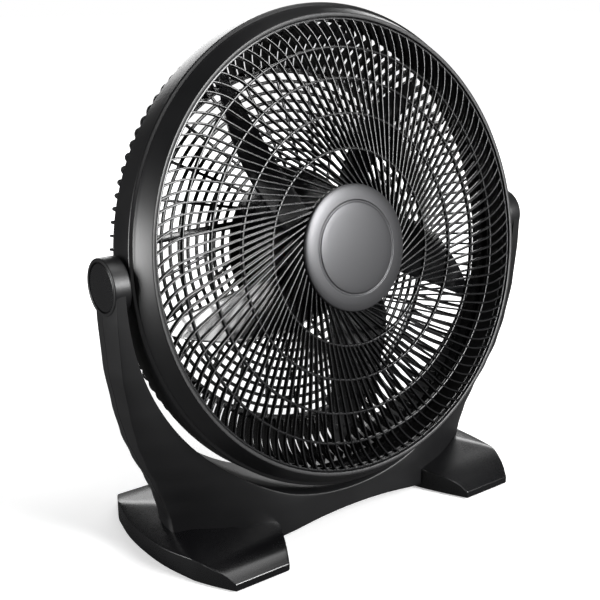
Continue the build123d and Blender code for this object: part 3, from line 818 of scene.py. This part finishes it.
def blade_mesh():
    """One petal-shaped blade pointing along +X, thin at its edges."""
    trail = ((-32, 40), (-52, 60), (-58, 84), (-57, 118), (-51, 150), (-38, 186), (-24, 212), (-10, 231))
    lead = ((4, 40), (2, 66), (0, 92), (0, 120), (0, 150), (0, 180), (1, 208), (1, 231))
    rows, columns = 30, 26
    top, bottom = [], []
    for j in range(rows + 1):
        s = j / rows
        a, b = along_points(trail, s), along_points(lead, s)
        upper, lower = [], []
        for i in range(columns + 1):
            u = i / columns
            spot = a.lerp(b, u)
            spot.y += (1 - (2 * u - 1) ** 2) * 4.5 * s * s
            x, radius = spot
            height = blade_height(x, radius)
            inset = min(u, 1 - u, (1 - s) * 1.2 + 0.004) * 2
            thick = 0.45 + 0.75 * min(1.0, inset / 0.10) ** 0.5
            upper.append(Vector((radius, height - thick, -x)))
            lower.append(Vector((radius, height + thick, -x)))
        top.append(upper)
        bottom.append(lower)
    bm = bmesh.new()
    grids = [[[bm.verts.new(p) for p in row] for row in grid] for grid in (top, bottom)]
    for g, flip in zip(grids, (False, True)):
        for j in range(rows):
            for i in range(columns):
                face = [g[j][i], g[j][i + 1], g[j + 1][i + 1], g[j + 1][i]]
                bm.faces.new(face[::-1] if flip else face)
    ring = [(0, i) for i in range(columns)] + [(j, columns) for j in range(rows)]
    ring += [(rows, columns - i) for i in range(columns)] + [(rows - j, 0) for j in range(rows)]
    for (j0, i0), (j1, i1) in zip(ring, ring[1:] + ring[:1]):
        bm.faces.new((grids[0][j0][i0], grids[1][j0][i0], grids[1][j1][i1], grids[0][j1][i1]))
    return mesh_of(bm, "blade")


class FAN_OT_rotor(bpy.types.Operator):
    """Five-blade fan with its hub and nut, the shaft and the rotor core"""

    bl_idname = "fan.rotor"
    bl_label = "Rotor"

    def execute(self, context):
        sizes = context.scene.fan_sizes
        gloss = finishes()["blade_plastic"]
        bm = bmesh.new()
        add_mesh(bm, turned_copies(blade_mesh(), sizes.blade_count, sizes.blade_phase, gloss))
        hub = [
            (5.05, -24), (34, -24), (42, -21.5), (46, -15.5), (46, 26), (43.2, 26), (43.2, -14.5),
            (40, -18.5), (12, -19.5), (12, 22), (5.05, 22),
        ]
        add_spin(bm, loop_fillet(hub, 2.0, 4, only={1, 2, 3, 4, 6, 7}), 128)
        spokes = bmesh.new()
        rib = [(11.5, -19.2), (43.5, -14.0), (43.5, 12.0), (11.5, 20.0)]
        add_loft(spokes, [[(r, y, -0.9) for r, y in rib], [(r, y, 0.9) for r, y in rib]])
        add_mesh(bm, turned_copies(mesh_of(spokes, "web"), 10, 0.1, gloss))
        place("blades", mesh_of(bm, "blades"), "blade_plastic", "rotor", ["fan_blade"], HEAD_MM, degrees=40)
        refine("rotor_shaft", "core_steel", "rotor")
        refine("rotor_core", "core_steel", "rotor")
        refine("blade_nut", "blade_plastic", "rotor", bevel=0.0004)
        return {"FINISHED"}


def pan_head(radius, height, seat_y):
    """Pan-head screw head with a cross recess, its seat at a height along Y, in millimetres."""
    bm = bmesh.new()
    profile = [(radius, seat_y), (radius, seat_y + height * 0.45), (radius * 0.72, seat_y + height),
               (radius * 0.55, seat_y + height), (0.9, seat_y + height * 0.55), (0.5, seat_y - 2.0)]
    add_spin(bm, profile, 24)
    for quarter in range(2):
        wing = Matrix.Rotation(quarter * math.pi / 2, 4, "Y")
        slot = bmesh.new()
        w, l = radius * 0.16, radius * 0.6
        outline = [(-l, -w), (l, -w), (l, w), (-l, w)]
        low, high = seat_y + height * 0.5, seat_y + height * 0.93
        add_loft(slot, [[(x * 0.7, low, z) for x, z in outline], [(x, high, z) for x, z in outline]])
        add_mesh(bm, mesh_of(slot, "slot"), wing)
    return mesh_of(bm, "screw")


class FAN_OT_motor(bpy.types.Operator):
    """Motor housing, brackets, core, windings, bearings and their screws"""

    bl_idname = "fan.motor"
    bl_label = "Motor"

    def execute(self, context):
        refine("motor_housing", "rim_plastic", "head", bevel=0.0004)
        for node in ("motor_front_bracket", "motor_rear_bracket"):
            refine(node, "motor_aluminium", "head", bevel=0.0004)
        refine("stator_core", "core_steel", "head")
        refine("stator_windings", "winding_copper", "head", bevel=0.0009)
        for node in ("front_bearing", "rear_bearing"):
            refine(node, "bearing_bronze", "head")
        refine("capacitor", "capacitor_case", "head", bevel=0.0010)
        refine("speed_switch", "capacitor_case", "head", bevel=0.0005)
        steel = finishes()["screw_steel"]
        for name, node, radius, size, height, seat in (
            ("housing_screws", "motor_screws", 68.0, 3.4, 2.0, 68.9),
            ("rim_screws", "grille_screws", 262.6, 2.0, 1.6, 16.7),
        ):
            head = pan_head(size, height, seat)
            head.transform(Matrix.Translation((radius, 0, 0)))
            screws = turned_copies(head, 6, math.radians(30), steel)
            place(name, screws, "screw_steel", "head", [node], HEAD_MM, degrees=28)
        return {"FINISHED"}


class FAN_OT_controls(bpy.types.Operator):
    """Speed knob, dial plate and cord gland"""

    bl_idname = "fan.controls"
    bl_label = "Controls"

    def execute(self, context):
        refine("speed_knob", "foot_plastic", "knob", bevel=0.0006)
        refine("dial_plate", "badge_metal", "head")
        refine("cord_gland", "pad_rubber", "head", bevel=0.0005)
        return {"FINISHED"}


# ---------------------------------------------------------------- stand pieces


def section_at(z):
    """Row of the cradle table at a height, between its rows."""
    rows = CRADLE_SECTIONS
    z = min(max(z, rows[0][0]), rows[-1][0])
    for low, high in zip(rows, rows[1:]):
        if z <= high[0]:
            t = (z - low[0]) / (high[0] - low[0])
            t = t * t * (3 - 2 * t) * 0.35 + t * 0.65
            return [a + (b - a) * t for a, b in zip(low, high)]
    return list(rows[-1])


def front_depth(x, z):
    """How far the cradle's front face stands before the seam."""
    _, outer, turn, edge_depth, face_depth, _ = section_at(z)
    start = outer - 1.2
    x = min(abs(x), start)
    end = turn * 0.55
    if x <= end:
        return face_depth
    a = start - 2 * turn + end
    b = 2 * (turn - start)
    c = start - x
    if abs(a) < 1e-6:
        t = -c / b
    else:
        t = (-b - math.sqrt(max(0.0, b * b - 4 * a * c))) / (2 * a)
    t = min(max(t, 0.0), 1.0)
    return edge_depth * (1 - t) ** 2 + 2 * face_depth * t * (1 - t) + face_depth * t * t


def rear_depth(x, z):
    """How far the cradle's rear face stands behind the seam."""
    _, outer, _, _, _, rear = section_at(z)
    short = outer - min(abs(x), outer)
    t = min(1.0, short / 13.0)
    return rear * math.sqrt(max(0.0, 1 - (1 - t) ** 2)) if t < 1 else rear


def outline_radius(angle):
    """Radius of the cradle's outer edge in a direction from the pivot."""
    sideways, down = math.cos(angle), math.sin(angle)
    arms = []
    steps = 160
    for k in range(steps + 1):
        z = BASE_Z + (PIVOT_Z - BASE_Z) * k / steps
        x = section_at(z)[1]
        arms.append((math.atan2(PIVOT_Z - z, x), math.hypot(x, PIVOT_Z - z)))
    arms.sort()
    if angle <= arms[-1][0]:
        for (a0, r0), (a1, r1) in zip(arms, arms[1:]):
            if a0 <= angle <= a1:
                return r0 + (r1 - r0) * (angle - a0) / max(1e-9, a1 - a0)
    radius = (ARCH_HALF**2 + ARCH_RISE**2) / (2 * ARCH_RISE)
    centre = ARCH_TOP - radius
    offset = PIVOT_Z - centre
    middle = offset * down
    reach = middle - math.sqrt(max(0.0, middle * middle - offset * offset + radius * radius))
    floor = (PIVOT_Z - BASE_Z) / down if down > 0.01 else 1e9
    return min(reach, floor) if abs(reach * sideways) < ARCH_HALF else floor


def flare(depth, start, reach):
    """Extra radius of the cradle hollow at a distance from the seam."""
    if depth <= start:
        return 0.0
    t = (depth - start) / reach
    return FLARE_WIDTH * t * t


def cradle_mesh(side):
    """Front (-1) or rear (+1) shell: sections turned round the pivot from arm to arm."""
    bm = bmesh.new()
    rings = []
    steps, count = 200, 12
    start, reach = FRONT_FLARE if side < 0 else REAR_FLARE
    for k in range(steps + 1):
        turn = math.pi * k / steps
        angle = max(min(turn, math.pi - turn), 0.001)
        radius = outline_radius(angle)
        c, s = math.cos(turn), math.sin(turn)

        def depth(r):
            x, z = r * c, PIVOT_Z - r * s
            return front_depth(x, z) if side < 0 else rear_depth(x, z)

        inner = CRADLE_R
        for _ in range(6):
            inner = CRADLE_R + flare(depth(inner), start, reach)
        blend = min(1.0, max(0.0, (angle - math.radians(56)) / math.radians(8)))
        inset = 1.3 * (1 - blend)
        points = [(radius - 0.7, 0.12), (radius, 0.9)]
        for i in range(count + 1):
            t = i / count
            r = (radius - inset) + (inner - radius + inset) * (t if side < 0 else t * t * 0.6 + t * 0.4)
            d = depth(r)
            points.append((r, d if i else max(d, 1.2)))
        last = points[-1][1]
        for i in range(1, 7):
            d = last - (last - (start if last > start else 20)) * i / 6
            points.append((CRADLE_R + flare(d, start, reach), d))
        points.append((CRADLE_R, 0.12))
        rounded = fillet(points, {2: 2.2 if side < 0 else 1.0, 2 + count: 2.0}, 3)
        rings.append([(-r * c, SEAM_Y + side * d, PIVOT_Z - r * s) for r, d in rounded])
    add_loft(bm, rings)
    return mesh_of(bm, "shell")


def add_boss(bm, side):
    """Round boss at the top of an arm with the recess for its cap."""
    face = ARM_FACE_X
    profile = [
        (13.1, 272.1), (29.9, 272.1), (29.9, face - 0.1), (25.9, face), (25.5, face - 2.5), (9.0, face - 2.5),
        (9.0, 283.5), (4.05, 283.5), (4.05, 279.2), (13.1, 279.2),
    ]
    rounded = loop_fillet(profile, 1.9, 5, only={1, 2, 3})
    boss = spun([(r, side * x) for r, x in rounded], 128, axis="X")
    add_mesh(bm, boss, Matrix.Translation((0, SEAM_Y, PIVOT_Z)))


def carve_recesses(mesh):
    """Shell with the face of each arm cut back behind its boss."""
    tool = bmesh.new()
    at_pivot = Matrix.Translation((0, SEAM_Y, PIVOT_Z))
    turns = [math.tau * k / 16 for k in range(16)]
    for side in (-1, 1):
        groove = [(3.9, side * 287.8), (28.4, side * 287.8), (28.4, side * 296), (3.9, side * 296)]
        add_mesh(tool, spun(groove, 64, "X"), at_pivot)
        plug = bmesh.new()
        ends = (287.0, 297.0)
        add_loft(plug, [[(side * x, 4.2 * math.cos(a), 4.2 * math.sin(a)) for a in turns] for x in ends])
        add_mesh(tool, mesh_of(plug, "plug"), at_pivot)
    carved, cutter = linked("carved", mesh), linked("cutter", mesh_of(tool, "tool"))
    cut = carved.modifiers.new("Recess", "BOOLEAN")
    cut.object = cutter
    cut.solver = "EXACT"
    cut.use_self = True
    result = shown_mesh(carved)
    for made in (carved, cutter):
        bpy.data.objects.remove(made)
    return result


STAND_SCREWS = ((-262, 190), (-206, 100), (-70, 30), (70, 30), (206, 100), (262, 190))


class FAN_OT_stand(bpy.types.Operator):
    """Front and rear shells of the stand, their seam, and the rear screws in their pockets"""

    bl_idname = "fan.stand"
    bl_label = "Stand Shells"

    def execute(self, context):
        front = bmesh.new()
        front.from_mesh(carve_recesses(cradle_mesh(-1)))
        for side in (-1, 1):
            add_boss(front, side)
        place(
            "stand_front", mesh_of(front, "front"), "stand_plastic", "stand", ["stand_front_shell"],
            TO_METRES, degrees=38,
        )
        rear = bmesh.new()
        rear.from_mesh(carve_recesses(cradle_mesh(1)))
        screws = bmesh.new()
        for x, z in STAND_SCREWS:
            back = SEAM_Y + rear_depth(x, z)
            low, lip = back - 6.0, back + 0.05
            wall = [(4.6, low), (4.6, lip), (6.4, lip), (6.9, back - 0.5), (6.9, low)]
            at_screw = Matrix.Translation((x, 0, z))
            add_mesh(rear, spun(wall, 32), at_screw)
            add_mesh(screws, pan_head(4.0, 2.4, back - 2.6), at_screw)
        place(
            "stand_rear", mesh_of(rear, "rear"), "stand_plastic", "stand", ["stand_rear_shell"],
            TO_METRES, degrees=38,
        )
        mesh = mesh_of(screws, "screws")
        place("shell_screws", mesh, "screw_steel", "stand", ["stand_screws"], TO_METRES, degrees=28)
        return {"FINISHED"}


def through(table, value):
    """Smooth curve through a table of (place, height)."""
    value = min(max(value, table[0][0]), table[-1][0])
    slopes = []
    for i in range(len(table)):
        a, b = table[max(0, i - 1)], table[min(len(table) - 1, i + 1)]
        slopes.append((b[1] - a[1]) / (b[0] - a[0]))
    for i in range(len(table) - 1):
        (x0, h0), (x1, h1) = table[i], table[i + 1]
        if value <= x1:
            w = x1 - x0
            t = (value - x0) / w
            a, b = slopes[i] * w, slopes[i + 1] * w
            return (
                h0 * (1 + 2 * t) * (1 - t) ** 2 + a * t * (1 - t) ** 2
                + h1 * t * t * (3 - 2 * t) + b * t * t * (t - 1)
            )
    return table[-1][1]


def foot_top(x_in, y):
    """Height of a foot's top; x_in is from its middle line, positive inwards."""
    ends = ((-84, 27.0), (0, 37.0), (84, 27.0), (114, 19.0), (128, 9.4))
    across = ((-76, 22.0), (-50, 30.0), (0, 38.0), (50, 30.0), (80, 22.0))
    a, b = through(ends, abs(y)), through(across, x_in)
    blend = max(0.0, 1.2 - abs(a - b)) / 1.2
    return min(a, b) - blend * blend * 0.3


def foot_edges(y):
    """Outer and inner edge of a foot at a distance from its middle."""
    outer = ((0, 71.0), (40, 68.5), (83, 59.0), (107, 47.5), (128, 35.0))
    inner = ((0, 75.0), (36, 71.8), (70, 62.0), (100, 49.0), (128, 35.0))
    found = []
    for table in (outer, inner):
        value = abs(y)
        mirrored = [(-table[1][0], table[1][1])] + list(table) + [(150, table[-1][1] - 14)]
        for k in range(1, len(mirrored) - 2):
            a, b = mirrored[k], mirrored[k + 1]
            if value <= b[0] or k == len(mirrored) - 3:
                t = min(1.0, (value - a[0]) / (b[0] - a[0]))
                found.append(between([mirrored[k - 1][1], a[1], b[1], mirrored[k + 2][1]], t))
                break
    return found


def foot_mesh(side):
    """Barrel-shaped foot with a crowned top, a ridge along each side and thin ends."""
    bm = bmesh.new()
    rings = []
    steps, columns = 56, 26
    for j in range(steps + 1):
        y = -127.4 + 254.8 * j / steps
        outer, inner = foot_edges(y)
        top = []
        for i in range(columns + 1):
            x_in = -outer + (outer + inner) * i / columns
            top.append((x_in, foot_top(x_in, y)))
        left, right = top[0], top[-1]
        run = [(left[0] + 1.2, 1.55), (left[0], 2.6)] + top + [(right[0], 2.6), (right[0] - 1.2, 1.55)]
        rounded = fillet(run, {2: 1.3, len(run) - 3: 1.3}, 3)
        rings.append([(side * (FOOT_X - x_in), y, z) for x_in, z in rounded])
    add_loft(bm, rings)
    return mesh_of(bm, "foot")


class FAN_OT_feet(bpy.types.Operator):
    """Two broad feet and the rubber pads under them"""

    bl_idname = "fan.feet"
    bl_label = "Feet"

    def execute(self, context):
        for name, side in (("left_foot", -1), ("right_foot", 1)):
            mesh = foot_mesh(side)
            place("shown_" + name, mesh, "foot_plastic", "stand", [name], TO_METRES, degrees=30, bevel=0.0012)
        bm = bmesh.new()
        outline = loop_fillet([(-22, -11), (22, -11), (22, 11), (-22, 11)], 5.0, 4)
        levels = ((0.0, 0.97, 0.94), (0.5, 1.0, 1.0), (1.5, 1.0, 1.0))
        for side in (-1, 1):
            for along in (-PAD_Y, PAD_Y):
                pad = bmesh.new()
                add_loft(pad, [[(x * wide, y * deep, z) for x, y in outline] for z, wide, deep in levels])
                add_mesh(bm, mesh_of(pad, "pad"), Matrix.Translation((side * FOOT_X, along, 0)))
        place("pads", mesh_of(bm, "pads"), "pad_rubber", "stand", ["foot_pads"], TO_METRES)
        return {"FINISHED"}


class FAN_OT_pivots(bpy.types.Operator):
    """Pivot caps in their recesses, the bolts behind them and the washers"""

    bl_idname = "fan.pivots"
    bl_label = "Pivots"

    def execute(self, context):
        profile = [(0, 288.55), (25.2, 288.55), (25.2, 289.5), (24.2, 290.2), (21.0, 290.15), (12.0, 289.75),
                   (0, 289.6)]
        for name, side in (("left_pivot_cap", -1), ("right_pivot_cap", 1)):
            bm = bmesh.new()
            add_solid_spin(bm, fillet(profile, {2: 0.5, 3: 0.6}, 4), 96)
            moved = Matrix.Translation(PIVOT) @ TO_METRES @ Matrix.Rotation(-side * math.pi / 2, 4, "Z")
            place("shown_" + name, mesh_of(bm, "cap"), "foot_plastic", "stand", [name], moved, 30)
        for node in ("left_pivot_bolt", "right_pivot_bolt"):
            refine(node, "screw_steel", "stand")
        refine("pivot_washers", "pad_rubber", "stand", bevel=0.0003)
        return {"FINISHED"}


# ---------------------------------------------------------------- stage


# The studio lights: name, place, the point they face, width and height, power.
LIGHTS = (
    ("left_box", (-2.4, 0.45, 0.5), (-0.2, 0, 0.4), (1.2, 0.8), 58),
    ("front_box", (0.95, -2.35, 1.05), (0, 0, 0.4), (0.85, 0.9), 88),
    ("high_box", (0.55, -1.9, 1.75), (-0.1, 0, 0.3), (0.8, 0.5), 17),
    ("top_box", (0.7, -0.3, 2.4), (0, 0, 0.2), (1.3, 1.3), 20),
    ("back_box", (1.8, 2.4, 1.15), (0, 0, 0.3), (3.2, 1.0), 46),
)

CAMERA_TARGET = Vector((-0.00972, 0.020, 0.24902))
CAMERA_TURN, CAMERA_LIFT, CAMERA_AWAY = math.radians(-37.51), math.radians(16.97), 1.2783
LENS, SENSOR = 64.4082, 36.0
WHITE = (1.0, 1.0, 1.0)


def facing(aim):
    """Rotation of a light or a camera that looks along a direction."""
    return aim.to_track_quat("-Z", "Y").to_euler()


def soft_light(name, place_at, look_at, size, power):
    """Rectangular studio light that faces a point."""
    data = bpy.data.lights.new(name, "AREA")
    data.shape = "RECTANGLE"
    data.size, data.size_y = size
    data.energy = power
    light = linked(name, data)
    light.location = place_at
    light.rotation_euler = facing(Vector(look_at) - Vector(place_at))


def camera_split(nodes, seen, unseen):
    """One shader for what the camera sees, and another for the light that reaches the fan."""
    direct = nodes.node("ShaderNodeLightPath").outputs["Is Camera Ray"]
    return nodes.node("ShaderNodeMixShader", {0: direct, 1: unseen, 2: seen}).outputs[0]


def paper():
    """White paper floor that lights the fan only a little."""
    shader = Shader("floor_paper")
    fibres = shader.noise(160.0)
    grain = shader.mapped(fibres, 0.3, 0.7, 0.0, 1.0)
    shader.finish(color=shader.mix(grain, shade(WHITE, 0.86), shade(WHITE, 0.9)), roughness=0.9, specular=0.0)
    shader.feed(shade(WHITE, 1.0), shader.bsdf.inputs["Emission Color"])
    far = shader.node("ShaderNodeVectorMath", {0: shader.coords}, operation="LENGTH").outputs["Value"]
    shader.feed(shader.mapped(far, 0.4, 1.0, 0.42, 1.0), shader.bsdf.inputs["Emission Strength"])
    dim = shader.node("ShaderNodeBsdfDiffuse", {"Color": shade(WHITE, 0.13)}).outputs[0]
    shader.feed(camera_split(shader, shader.bsdf.outputs[0], dim), shader.out.inputs[0])
    return shader.material


def studio_world(scene):
    """White backdrop with a dim fill."""
    world = scene.world or bpy.data.worlds.new("studio")
    world.use_nodes = True
    nodes = Nodes(world.node_tree)
    nodes.tree.nodes.clear()
    white, fill = [
        nodes.node("ShaderNodeBackground", {0: shade(WHITE, 1.0), 1: strength}).outputs[0]
        for strength in (1.0, 0.07)
    ]
    nodes.node("ShaderNodeOutputWorld", {0: camera_split(nodes, white, fill)})
    return world


class FAN_OT_stage(bpy.types.Operator):
    """Pale floor, soft studio lights and the camera"""

    bl_idname = "fan.stage"
    bl_label = "Stage"

    def execute(self, context):
        scene = context.scene
        floor_mesh = bpy.data.meshes.new("floor")
        bm = bmesh.new()
        bmesh.ops.create_grid(bm, x_segments=4, y_segments=4, size=14.0)
        bm.to_mesh(floor_mesh)
        bm.free()
        floor = linked("floor", floor_mesh)
        floor_mesh.materials.append(paper())
        scene.world = studio_world(scene)
        for light in LIGHTS:
            soft_light(*light)
        scene.view_settings.view_transform = "Standard"
        flat = math.cos(CAMERA_LIFT)
        away = Vector((math.sin(CAMERA_TURN) * flat, -math.cos(CAMERA_TURN) * flat, math.sin(CAMERA_LIFT)))
        data = bpy.data.cameras.new("camera")
        data.lens = LENS
        data.sensor_width = SENSOR
        data.clip_end = 60.0
        camera = linked("camera", data)
        camera.location = CAMERA_TARGET + away * CAMERA_AWAY
        camera.rotation_euler = facing(-away)
        scene.camera = camera
        return {"FINISHED"}


STEPS = (
    FAN_OT_rim, FAN_OT_front_grille, FAN_OT_badge, FAN_OT_rear_grille, FAN_OT_rotor, FAN_OT_motor,
    FAN_OT_controls, FAN_OT_stand, FAN_OT_feet, FAN_OT_pivots, FAN_OT_stage,
)


class FAN_PT_panel(bpy.types.Panel):
    """Buttons and sizes of the floor fan"""

    bl_idname = "FAN_PT_panel"
    bl_label = "Floor Fan"
    bl_space_type = "VIEW_3D"
    bl_region_type = "UI"
    bl_category = "Floor Fan"

    def draw(self, context):
        layout = self.layout
        for group in (context.scene.fan_sizes, context.scene.fan_colours):
            column = layout.column(align=True)
            for prop in group.bl_rna.properties:
                if not prop.is_readonly and prop.identifier != "name":
                    column.prop(group, prop.identifier)
        column = layout.column(align=True)
        for step in STEPS:
            column.operator(step.bl_idname)


CLASSES = (FanSizes, FanColours, *STEPS, FAN_PT_panel)


def register():
    for cls in CLASSES:
        bpy.utils.register_class(cls)
    bpy.types.Scene.fan_sizes = bpy.props.PointerProperty(type=FanSizes)
    bpy.types.Scene.fan_colours = bpy.props.PointerProperty(type=FanColours)


def unregister():
    del bpy.types.Scene.fan_colours
    del bpy.types.Scene.fan_sizes
    for cls in reversed(CLASSES):
        bpy.utils.unregister_class(cls)


def main():
    register()
    for step in STEPS:
        group, name = step.bl_idname.split(".")
        getattr(getattr(bpy.ops, group), name)()


if __name__ == "__main__":
    main()
